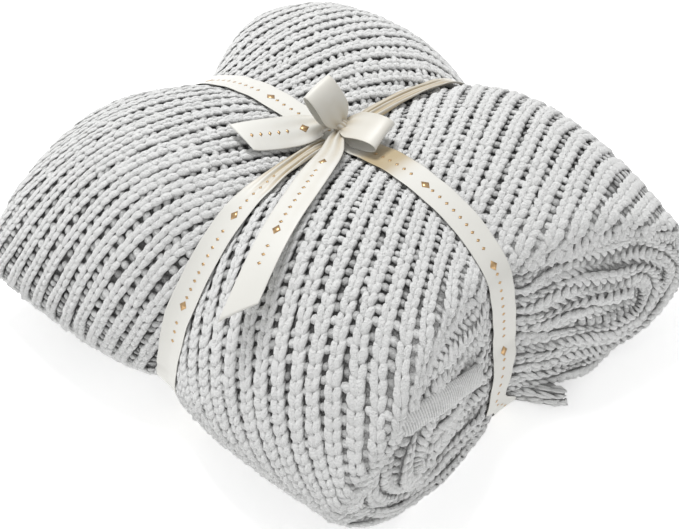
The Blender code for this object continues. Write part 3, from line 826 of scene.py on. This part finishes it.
def make_edge_band():
    length = EDGE_TO_Y - EDGE_FROM_Y
    rows = ROWS_A_RIDGE * round(length / EDGE_RIDGE)
    share = np.linspace(0, 1, rows)[:, None]
    y = EDGE_FROM_Y + length * share
    tucked = 1 - np.sin(math.pi / 2 * np.clip(np.minimum(share, 1 - share) * length / EDGE_TUCK, 0, 1))
    angle = 2 * math.pi * np.arange(EDGE_AROUND)[None, :] / EDGE_AROUND
    bend = 1.3 * np.sin(angle) + 0.9 * np.sin(y * 97 + 2 * angle)
    uneven = 0.75 + 0.25 * np.sin(y * 210 + 3 * angle)
    ridge = np.cos(2 * math.pi * (y - EDGE_FROM_Y) / EDGE_RIDGE + bend) * uneven
    slim = (1 - EDGE_THINNING * tucked) * (1 + 0.06 * np.sin(y * 110))
    swell = EDGE_SWELL * ridge
    x = WIDTH / 2 + EDGE_STAND - EDGE_DIVE * tucked + EDGE_HALF_DEPTH * slim * (1 + swell) * np.cos(angle)
    up = EDGE_HEIGHT_UP["from"] + (EDGE_HEIGHT_UP["to"] - EDGE_HEIGHT_UP["from"]) * share
    z = up + 0.0015 * np.sin(y * 60) + EDGE_HALF_HEIGHT * slim * (1 + 0.3 * swell) * np.sin(angle)
    points = parcel(x, y + 0 * x, z)
    k = np.arange(1, EDGE_AROUND - 1)
    cap = np.stack([0 * k, k, k + 1], axis=1)
    walls = grid_faces(rows, EDGE_AROUND, closed_columns=True)
    faces = [walls[:, ::-1], cap, cap[:, ::-1] + (rows - 1) * EDGE_AROUND]
    # Painted light and shade: the crests of the ridges are coloured lighter and the hollows between them
    # darker.
    return mesh_piece("finished_edge", points.reshape(-1, 3), faces, chenille, rise=0.76 + 0.22 * ridge)


edge_band = make_edge_band()
print("faces in the finished edge:", len(edge_band.data.polygons))

# %% [markdown]
# ## The satin ribbon
#
# Satin is smooth across and faintly ribbed along its threads, so it shines in a soft streak. Its
# ivory is painted a warmer, darker cream where light bounces between folds and shadow falls: painted
# shade. The gloss comes from a middling roughness with some anisotropy, and the threads from a very
# fine noise in the bump.

# %% The satin and foil materials
# The cream is painted shade: the warm, dark colour of shadow and of light bounced between folds.
SATIN_WHITE, SATIN_PAINTED_SHADE = (0.685, 0.678, 0.638, 1), (0.420, 0.335, 0.200, 1)
FOIL_COLOR = (0.60, 0.40, 0.21, 1)


def satin_material():
    material, nodes, links, shader = new_material("ivory_satin")
    place = nodes.new("ShaderNodeTexCoord")
    drift = add_noise(nodes, links, place, 60, 2)
    threads = add_noise(nodes, links, place, 2600)
    # The mark that each point of the ribbon carries paints shade: it turns the ivory towards the darker
    # cream.
    tone = add_sum(nodes, links, add_mark(nodes, "warmth"), drift, 0.25)
    ivory = add_ramp(nodes, links, tone, (0.05, SATIN_WHITE), (1.0, SATIN_PAINTED_SHADE))
    links.new(ivory, shader.inputs["Base Color"])
    links.new(add_bump(nodes, links, threads, 0.25, 0.0002), shader.inputs["Normal"])
    set_sockets(shader, {"Roughness": 0.42, "Anisotropic": 0.35,
                         "Sheen Weight": 0.25, "Specular IOR Level": 0.45})
    return material


def foil_material():
    material, nodes, links, shader = new_material("gold_foil")
    rubbed = add_noise(nodes, links, nodes.new("ShaderNodeTexCoord"), 900)
    gloss = nodes.new("ShaderNodeMapRange")
    set_sockets(gloss, {"To Min": 0.22, "To Max": 0.50})
    links.new(rubbed, gloss.inputs["Value"])
    links.new(gloss.outputs["Result"], shader.inputs["Roughness"])
    set_sockets(shader, {"Base Color": FOIL_COLOR, "Metallic": 0.9})
    return material


satin, foil = satin_material(), foil_material()
for material in (satin, foil):
    print(f"{material.name}: {len(material.node_tree.nodes)} nodes")

# %% [markdown]
# ## The two bands round the parcel
#
# The ribbon is drawn tight, so each band follows the straightest way round the block: its convex
# outline in side view. Laid out on the block and bent with it, the band follows the valleys that
# it has itself pressed into the cloth.

# %% Draw the bands tight round the block
RIBBON_THICKNESS, RIBBON_CLEARANCE, CROSSING_STEP = 0.0005, 0.0009, 0.0018
BAND_STEP = 0.005
ACROSS_RIBBON = np.linspace(-1, 1, 33)
BUNCHED_SHARE, BUNCH_RISE, KNOT_CLEAR = 0.62, 0.0017, 0.014
CROWN_RISE, EDGE_FLUTTER = 0.0004, 0.00035
# Painted shade on the ribbon: in the pleats of the bunched band, and a painted shadow spot on the band
# across, under the right loop.
FOLD_PAINTED_SHADE, FOLD_CONTRAST = 0.72, 0.50
PAINTED_SHADOW_SPOT = {"warmth": 1.5, "x": 0.060, "reach": 0.020}
BUNCH_NEAR = {"from_y": -0.130, "to_y": -0.050}
BUNCH_FAR = {"from_y": 0.170, "to_y": 0.110}


def unit(v):
    return v / np.linalg.norm(v, axis=-1, keepdims=True)


def line_length(points):
    return float(np.linalg.norm(np.diff(points, axis=0), axis=1).sum())


def turn_of(a, b, c):
    """More than 0 where the way from a by b to c turns left."""
    return (b[0] - a[0]) * (c[1] - b[1]) - (b[1] - a[1]) * (c[0] - b[0])


def taut_outline(points):
    """The convex outline round some points, anticlockwise."""
    points = sorted(set((round(a, 7), round(b, 7)) for a, b in points))

    def half_outline(ordered):
        kept = []
        for p in ordered:
            while len(kept) > 1 and turn_of(kept[-2], kept[-1], p) <= 0:
                kept.pop()
            kept.append(p)
        return kept[:-1]

    return np.array(half_outline(points) + half_outline(points[::-1]))


def evenly(points, step, closed):
    """Points at even distances along a line, and the distance at each."""
    line = np.vstack([points, points[:1]]) if closed else np.asarray(points)
    length = np.concatenate([[0], np.cumsum(np.linalg.norm(np.diff(line, axis=0), axis=1))])
    count = round(length[-1] / step)
    wanted = np.linspace(0, length[-1], count + 1)[:-1 if closed else None]
    return np.stack([np.interp(wanted, length, column) for column in line.T], axis=1), wanted


def outline_along():
    n = HALF_LAYER
    edge_y, edge_z = path[:, 0] + n * path[:, 2], path[:, 1] + n * path[:, 3]
    points = list(zip(edge_y, sag(edge_y, edge_z))) + [(OUTER_END_Y + RIBBON_CLEARANCE, 0.0)]
    return taut_outline(points)


def outline_across():
    angles = np.radians(np.arange(0, 91, 10))
    corner = [(FLAT_HALF + END_ROUNDING * math.sin(a), HALF_LAYER * math.cos(a)) for a in angles]
    points = []
    for side in (-1, 1):
        points += [(side * x, HEIGHT - HALF_LAYER + z) for x, z in corner]
        points += [(side * x, HALF_LAYER - z) for x, z in corner]
    return taut_outline(points)


def bunching(y, z):
    """1 where the ribbon along the ribs is bunched up beside the knot, 0 where it lies flat."""
    near_side = soft_step((y - BUNCH_NEAR["from_y"]) / (BUNCH_NEAR["to_y"] - BUNCH_NEAR["from_y"]))
    far_side = soft_step((y - BUNCH_FAR["from_y"]) / (BUNCH_FAR["to_y"] - BUNCH_FAR["from_y"]))
    return near_side * far_side * (z > HEIGHT / 2)


def make_band(name, outline, band):
    """A closed band of ribbon, with a faint crown across it, waving edges and pleats where bunched."""
    line, distance = evenly(outline, BAND_STEP, closed=True)
    way = unit(np.roll(line, -1, axis=0) - np.roll(line, 1, axis=0))
    normal = np.stack([way[:, 1], -way[:, 0]], axis=1)
    place, up = line[:, :1], line[:, 1:]
    along, v = distance[:, None], ACROSS_RIBBON[None, :]
    pleats = (0.65 * np.cos(2.6 * math.pi * v + 1.6 * np.sin(along * 33))
              + 0.50 * np.cos(4.4 * math.pi * v - 2.1 * np.sin(along * 21) + 1))
    # Painted shade: the bunched band is darkened in its pleats, and the band across gets its painted shadow
    # spot.
    if band == "along":
        bunched, lift = bunching(place, up), RIBBON_CLEARANCE
        warmth = bunched * (FOLD_PAINTED_SHADE - FOLD_CONTRAST * pleats)
    else:
        bunched, lift = 0 * place, RIBBON_CLEARANCE + CROSSING_STEP * groove(place)
        warmth = PAINTED_SHADOW_SPOT["warmth"] * np.exp(-((place - PAINTED_SHADOW_SPOT["x"]) / PAINTED_SHADOW_SPOT["reach"]) ** 2)
    clear_of_knot = 1 - np.exp(-(place / KNOT_CLEAR) ** 2)
    height = CROWN_RISE * (1 - v**2) + EDGE_FLUTTER * np.sin(along * 190 + 2 * v) * np.abs(v) ** 3
    height = height + BUNCH_RISE * bunched * clear_of_knot * (0.8 + pleats)
    side = ribbon_line(band, place, up) + RIBBON_WIDTH / 2 * (1 - (1 - BUNCHED_SHARE) * bunched) * v
    both = []
    for extra in (0.0, RIBBON_THICKNESS):
        total = lift + height + extra
        run, rise = place + total * normal[:, :1], up + total * normal[:, 1:]
        both.append(parcel(side, run, rise) if band == "along" else parcel(run, side, rise))
    warmth = np.broadcast_to(warmth, side.shape) * (up > HEIGHT / 2)
    top_middle = both[1][:, len(ACROSS_RIBBON) // 2]
    length = line_length(np.vstack([top_middle, top_middle[:1]]))
    return band_mesh(name, both, True, warmth), length, both


def band_mesh(name, both_faces, closed, warmth):
    """A thin closed mesh from the inner and the outer face of a ribbon."""
    inner, outer = both_faces
    ring = np.concatenate([inner, outer[:, ::-1]], axis=1)
    marks = np.concatenate([warmth, warmth[:, ::-1]], axis=1)
    rows, columns = ring.shape[:2]
    faces = [grid_faces(rows, columns, closed_rows=closed, closed_columns=True)]
    if not closed:
        k = np.arange(columns // 2 - 1)
        start = np.stack([k, columns - 1 - k, columns - 2 - k, k + 1], axis=1)
        faces += [start, start[:, ::-1] + (rows - 1) * columns]
    return mesh_piece(name, ring.reshape(-1, 3), faces, satin, warmth=marks)


band_along, length_along, faces_along = make_band("ribbon_band_along", outline_along(), "along")
band_across, length_across, faces_across = make_band("ribbon_band_across", outline_across(), "across")
print(f"bands: {length_along:.3f} m along the ribs, {length_across:.3f} m across them")

# %% [markdown]
# ## The bow
#
# The knot gathers the ribbon to less than half its width, and it spreads again as it leaves. Each
# loop goes out, round and back. Each tail falls over the cloth and ends in a slanting cut. All of
# them are strips along a line of points, so they share one function. The knot itself is a short
# piece of ribbon wrapped round the rest, with its pleats.

# %% Lay out the bow
CAD_KNOT_HEIGHT, KNOT_GAP, KNOT_DROP, KNOT_REST = 0.019, 0.0004, 0.0030, 0.001
KNOT_SIZE = (0.0125, 0.0120, 0.0125)
GATHERED_SHARE, PLEAT_SHARE = 0.30, 0.45
PLEAT_DEPTH, STRIP_CROWN = 0.0013, 0.0009
LOOP_TURN, LOOP_STATIONS, LOOP_THICKNESS, LOOP_SHADE = (0.06, 1.94), 45, 0.0014, 0.18
TAIL_STEPS, LEAD_POINTS = 8, 4
LOOPS = (
    {"name": "left loop", "reach": (-0.0145, -0.0105, 0.0335), "side": (0.00, 0.955, 0.297),
     "opening": 0.012, "gather": 0.015},
    {"name": "right loop", "reach": (0.040, 0.003, 0.012), "side": (-0.25, 0.92, 0.28),
     "opening": 0.015, "gather": 0.018},
)
TAILS = (
    {"name": "short tail", "cut": 0.011, "gather": 0.040, "start": (0.0010, 0.0010, 0.0030), "stations": (
        {"x": -0.0150, "y": -0.0130, "above": 0.0095, "lean": 0.0020},
        {"x": -0.0205, "y": -0.0300, "above": 0.0085, "lean": 0.0040},
        {"x": -0.0270, "y": -0.0480, "above": 0.0075, "lean": 0.0040},
        {"x": -0.0340, "y": -0.0620, "above": 0.0065, "lean": 0.0025},
        {"x": -0.0395, "y": -0.0735, "above": 0.0065, "lean": 0.0},
    )},
    {"name": "long tail", "cut": 0.022, "gather": 0.095, "start": (-0.0010, 0.0020, -0.0030), "stations": (
        {"x": 0.0125, "y": -0.0175, "above": 0.0085, "lean": 0.0},
        {"x": 0.0290, "y": -0.0370, "above": 0.0078, "lean": 0.0},
        {"x": 0.0420, "y": -0.0610, "above": 0.0070, "lean": 0.0},
        {"x": 0.0515, "y": -0.0865, "above": 0.0050, "lean": 0.0},
        {"x": 0.0595, "y": -0.1120, "above": 0.0045, "lean": 0.0},
        {"x": 0.0670, "y": -0.1350, "above": 0.0045, "lean": 0.0},
        {"x": 0.0740, "y": -0.1560, "above": 0.0045, "lean": 0.0},
        {"x": 0.0790, "y": -0.1720, "above": 0.0050, "lean": 0.0},
    )},
)


def knot_centre():
    zero = np.zeros(1)
    stack = RIBBON_CLEARANCE + CROSSING_STEP + KNOT_REST
    crossing = Vector(parcel(zero, zero, zero + HEIGHT + stack)[0])
    return crossing + Vector((0, 0, KNOT_GAP + CAD_KNOT_HEIGHT / 2 - KNOT_DROP))


def gathered(distance, gather):
    """The ribbon's width at a distance from the knot; gather is how far it takes to spread."""
    spread = np.sin(math.pi / 2 * np.clip(distance / gather, 0, 1))
    return RIBBON_WIDTH * (GATHERED_SHARE + (1 - GATHERED_SHARE) * spread)


def strip_faces(middles, sides, widths, distances, spread, cut=0.0):
    """The inner and outer face of a strip, pleated near the knot and cut at a slant, and its painted shade.
    """
    along = unit(np.gradient(middles, axis=0))
    sides = unit(sides - along * np.sum(sides * along, axis=1, keepdims=True))
    facing = np.cross(sides, along)
    v = ACROSS_RIBBON[None, :]
    near_knot = np.exp(-distances / (PLEAT_SHARE * spread))[:, None]
    pleats = np.cos(v * 2.5 * math.pi + 0.6)
    bend = PLEAT_DEPTH * near_knot * pleats + STRIP_CROWN * (1 - v**2)
    to_end = distances[-1] - distances
    slant = np.clip(1 - to_end / cut, 0, 1)[:, None] * cut / 2 * v if cut else 0.0 * v
    both = []
    for extra in (-RIBBON_THICKNESS / 2, RIBBON_THICKNESS / 2):
        height = bend + extra
        both.append(middles[:, None, :]
                    + sides[:, None, :] * (widths[:, None] / 2 * v)[..., None]
                    + facing[:, None, :] * height[..., None]
                    + along[:, None, :] * (slant + 0 * height)[..., None])
    # Painted shade in the hollows of the pleats near the knot, and a little towards the edges.
    return both, near_knot * (0.75 - 0.35 * pleats) + 0.05 * v**6


def make_loop(loop):
    reach, side = np.array(loop["reach"]), unit(np.array(loop["side"]))
    size = np.linalg.norm(reach)
    side = unit(side - reach * (side @ reach) / size**2)
    up = unit(np.cross(reach, side))
    up = up if up[2] > 0 else -up
    angle = math.pi * np.linspace(*LOOP_TURN, LOOP_STATIONS)
    out = (1 - np.cos(angle)) / 2
    swell = np.sin(angle) * np.sin(angle / 2) ** 1.2
    height = loop["opening"] / 2 * swell + LOOP_THICKNESS * np.cos(angle / 2)
    middles = np.array(knot_centre()) + out[:, None] * reach + height[:, None] * up
    sides, distances = np.repeat(side[None], len(middles), axis=0), out * size
    widths = gathered(distances, loop["gather"])
    faces, warmth = strip_faces(middles, sides, widths, distances, loop["gather"])
    # Painted shade on the first half of each loop.
    warmth = warmth + LOOP_SHADE * (angle < math.pi)[:, None]
    return band_mesh(loop["name"].replace(" ", "_"), faces, False, warmth), line_length(middles), faces


def smooth_stations(stations, steps_each):
    """Points on a smooth curve through all the rows of a table."""
    table = np.array([[row[key] for key in ("x", "y", "above", "lean")] for row in stations])
    padded = np.vstack([2 * table[0] - table[1], table, 2 * table[-1] - table[-2]])
    points = []
    for k in range(len(table) - 1):
        a, b, c, d = padded[k:k + 4]
        for t in np.arange(steps_each) / steps_each:
            points.append(0.5 * (2 * b + (c - a) * t + (2 * a - 5 * b + 4 * c - d) * t**2
                                 + (3 * b - a - 3 * c + d) * t**3))
    return np.array(points + [table[-1]])


def make_tail(tail):
    table = smooth_stations(tail["stations"], TAIL_STEPS)
    x, y = table[:, 0], table[:, 1]
    e, top = 0.002, np.full(len(x), HEIGHT)
    on_cloth = parcel(x, y, top)
    up = unit(np.cross(parcel(x + e, y, top) - on_cloth, parcel(x, y + e, top) - on_cloth))
    lines = on_cloth + up * table[:, 2:3]
    start = np.array(knot_centre()) + np.array(tail["start"])
    lead = start + (lines[0] - start) * (np.arange(LEAD_POINTS) / LEAD_POINTS)[:, None]
    middles = np.vstack([lead, lines])
    ups = np.vstack([np.repeat([[0, 0, 1.0]], LEAD_POINTS, axis=0), up])
    lean = np.concatenate([np.zeros(LEAD_POINTS), table[:, 3]]) / (RIBBON_WIDTH / 2)
    along = unit(np.gradient(middles, axis=0))
    sides = unit(unit(np.cross(along, ups)) + ups * lean[:, None])
    distances = np.concatenate([[0], np.cumsum(np.linalg.norm(np.diff(middles, axis=0), axis=1))])
    spread = tail["gather"]
    faces, warmth = strip_faces(middles, sides, gathered(distances, spread), distances, spread, tail["cut"])
    return band_mesh(tail["name"].replace(" ", "_"), faces, False, warmth), line_length(middles), faces


loops = [make_loop(loop) for loop in LOOPS]
tails = [make_tail(tail) for tail in TAILS]

# %% Tie the knot
KNOT_STATIONS, KNOT_AROUND, KNOT_TURN = 28, 40, math.radians(24)


def make_knot():
    """A pleated wrap round the middle of the bow."""
    u = np.linspace(0, 2 * math.pi, KNOT_AROUND, endpoint=False)
    v = np.linspace(-1, 1, KNOT_STATIONS)
    uu, vv = np.meshgrid(u, v)
    swell = np.sqrt(np.clip(1 - np.abs(vv) ** 2.6, 0, 1))
    pleats = 1 + 0.055 * np.cos(5 * math.pi * vv + 0.9 * np.sin(uu)) * swell
    half = np.array(KNOT_SIZE) / 2
    points = np.stack([half[0] * swell * np.cos(uu) * pleats, half[1] * vv,
                       half[2] * swell * np.sin(uu) * pleats], axis=-1)
    spin = np.array(Matrix.Rotation(KNOT_TURN, 3, "Z"))
    points = points @ spin.T + np.array(knot_centre())
    walls = grid_faces(KNOT_STATIONS, KNOT_AROUND, closed_columns=True)[:, ::-1]
    # Painted shade in the hollows of the knot's pleats.
    warmth = 0.45 - 0.35 * np.cos(5 * math.pi * vv)
    return mesh_piece("bow_knot", points.reshape(-1, 3), [walls], satin, warmth=warmth)


knot = make_knot()
print("faces in the knot:", len(knot.data.polygons))

# %% Join the bow into one piece
def join(name, pieces):
    """Joins mesh objects into the first one."""
    for other in bpy.data.objects:
        other.select_set(False)
    for piece in pieces:
        piece.select_set(True)
    bpy.context.view_layer.objects.active = pieces[0]
    bpy.ops.object.join()
    pieces[0].name = name
    return pieces[0]


bow = join("ribbon_bow", [knot] + [piece for piece, _, _ in loops + tails])
print("faces in the bow:", len(bow.data.polygons))

# %% [markdown]
# ## The foil marks
#
# The ribbon is stamped with small marks in gold foil, one after another along its middle. They are
# plain lozenges here, a large one and then a row of small ones, over and over. Each is a closed
# scrap of foil, thinner than a hair, that follows the ribbon under it.

# %% Stamp the foil marks
FOIL_LIFT, FOIL_THICKNESS = 0.00012, 0.00006
FOIL_STEP, SMALL_MARKS = 0.0068, 9
LARGE_MARK, SMALL_MARK = (0.0040, 0.0036), (0.0013, 0.0018)
FOIL_CORNERS, FOIL_END = 8, 0.02


def on_face(face, lengths, way, aside):
    """Points on one face of a ribbon: way along it in metres, aside in widths from its middle."""
    row = np.clip(np.interp(way, lengths, np.arange(len(lengths))), 0, len(lengths) - 1.001)
    column = (0.5 + aside) * (face.shape[1] - 1)
    r, c = row.astype(int), column.astype(int)
    a, b = (row - r)[:, None], (column - c)[:, None]
    return ((1 - a) * ((1 - b) * face[r, c] + b * face[r, c + 1])
            + a * ((1 - b) * face[r + 1, c] + b * face[r + 1, c + 1]))


def foil_mark(both_faces, lengths, way, half_way, half_aside):
    """The rim and the middle of one lozenge, and the way out of the ribbon there."""
    inner, outer = both_faces
    turn = math.pi / 4 * np.arange(FOIL_CORNERS)
    reach = 1 / (np.abs(np.cos(turn)) + np.abs(np.sin(turn)))
    ways = np.append(way + half_way * reach * np.cos(turn), way)
    asides = np.append(half_aside / RIBBON_WIDTH * reach * np.sin(turn), 0.0)
    top, under = on_face(outer, lengths, ways, asides), on_face(inner, lengths, ways, asides)
    outward = unit(top[-1] - under[-1])
    turning = np.cross(top[0] - top[4], top[2] - top[6]) @ outward
    return (top if turning > 0 else np.vstack([top[-2::-1], top[-1:]])), outward


def foil_marks(name, both_faces, start, end, bare=None):
    """Marks from start to end along the outer face of a ribbon; bare holds two values of y, and no
    mark lies between them on top."""
    middle = both_faces[1][:, len(ACROSS_RIBBON) // 2]
    lengths = np.concatenate([[0], np.cumsum(np.linalg.norm(np.diff(middle, axis=0), axis=1))])
    k = np.arange(FOIL_CORNERS)
    following, centre, layer = (k + 1) % FOIL_CORNERS, np.full(FOIL_CORNERS, FOIL_CORNERS), FOIL_CORNERS + 1
    rim_walls = np.stack([k, following, following + layer, k + layer], axis=1)
    top = np.stack([k, following, centre], axis=1) + layer
    under = np.stack([following, k, centre], axis=1)
    points, walls, caps = [], [], []
    for number, way in enumerate(np.arange(start, end, FOIL_STEP)):
        place = number % (SMALL_MARKS + 2)
        if place == 1:
            continue
        mark, outward = foil_mark(both_faces, lengths, way, *(LARGE_MARK if place == 0 else SMALL_MARK))
        if bare and mark[-1, 2] > HEIGHT / 2 and bare[0] < mark[-1, 1] < bare[1]:
            continue
        shift = 2 * layer * len(walls)
        points += [mark + outward * FOIL_LIFT, mark + outward * (FOIL_LIFT + FOIL_THICKNESS)]
        walls.append(rim_walls + shift)
        caps += [top + shift, under + shift]
    return mesh_piece(name, np.concatenate(points), [np.concatenate(walls), np.concatenate(caps)], foil)


foils = [
    foil_marks("foil_marks_along", faces_along, FOIL_END, length_along - FOIL_END, (-0.07, 0.17)),
    foil_marks("foil_marks_across", faces_across, FOIL_END, length_across - FOIL_END),
    foil_marks("foil_marks_short_tail", tails[0][2], 0.030, 0.072),
    foil_marks("foil_marks_long_tail", tails[1][2], 0.060, 0.165),
]
print("faces in the foil:", sum(len(piece.data.polygons) for piece in foils))

# %% [markdown]
# ## What each piece moves with
#
# Every new piece is attached to the root body, so that it moves with it, and the engineering
# model's own blanket, bands and bow are hidden.

knit_pieces = outer_parts + end_parts + rungs + [edge_band]
for piece in [ground] + knit_pieces:
    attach(piece, "root")
for piece in [band_along, band_across, bow] + foils:
    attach(piece, "root")
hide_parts("blanket")
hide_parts("ribbon_along")
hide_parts("ribbon_across")
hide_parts("bow")
print(f"{len(knit_pieces) + 1} pieces of knitting, {3 + len(foils)} of ribbon and foil")

# %% [markdown]
# ## Floor and light
#
# The photograph is a bright studio shot on white. A white floor under an even white sky gives
# that, and one large soft light from above and the left shapes the lobes without hard shadows.

# %% Floor, sky and lamp
SKY_STRENGTH, FLOOR_GLOW, FLOOR_HALF = 0.60, 0.46, 4.0
LAMP = {"place": (-0.75, 0.12, 2.35), "size": 0.8, "watts": 45}


def make_floor():
    material, nodes, links, shader = new_material("floor_white")
    set_sockets(shader, {"Base Color": (0.94, 0.94, 0.94, 1), "Roughness": 0.9,
                         "Emission Color": (1, 1, 1, 1), "Emission Strength": FLOOR_GLOW})
    corners = FLOOR_HALF * np.array([(-1, -1, 0), (1, -1, 0), (1, 1, 0), (-1, 1, 0)])
    floor = mesh_piece("studio_floor", corners, [np.array([[0, 1, 2, 3]])], material, smooth=False)


def make_sky():
    world = bpy.data.worlds.new("studio_sky")
    world.use_nodes = True
    sky = world.node_tree.nodes["Background"]
    set_sockets(sky, {"Color": (1, 1, 1, 1), "Strength": SKY_STRENGTH})
    bpy.context.scene.world = world


def triangle_counts():
    """Triangles in each piece of the scene."""
    counts = {}
    for piece in bpy.data.objects:
        if piece.type == "MESH" and not piece.hide_render:
            counts[piece.name] = sum(len(face.vertices) - 2 for face in piece.data.polygons)
    return counts


def make_lamp(name, place, size, watts):
    data = bpy.data.lights.new(name, "AREA")
    data.shape, data.size, data.energy = "DISK", size, watts
    lamp = bpy.data.objects.new(name, data)
    lamp.location = place
    lamp.rotation_euler = (LOOK_AT - Vector(place)).to_track_quat("-Z", "Y").to_euler()
    bpy.context.scene.collection.objects.link(lamp)


make_floor()
make_sky()
make_lamp("softbox_above", LAMP["place"], LAMP["size"], LAMP["watts"])
bpy.context.scene.view_settings.view_transform = "Standard"

# %% Note the size and finish
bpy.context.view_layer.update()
counts = triangle_counts()
print("triangles:", counts, "in all", sum(counts.values()))
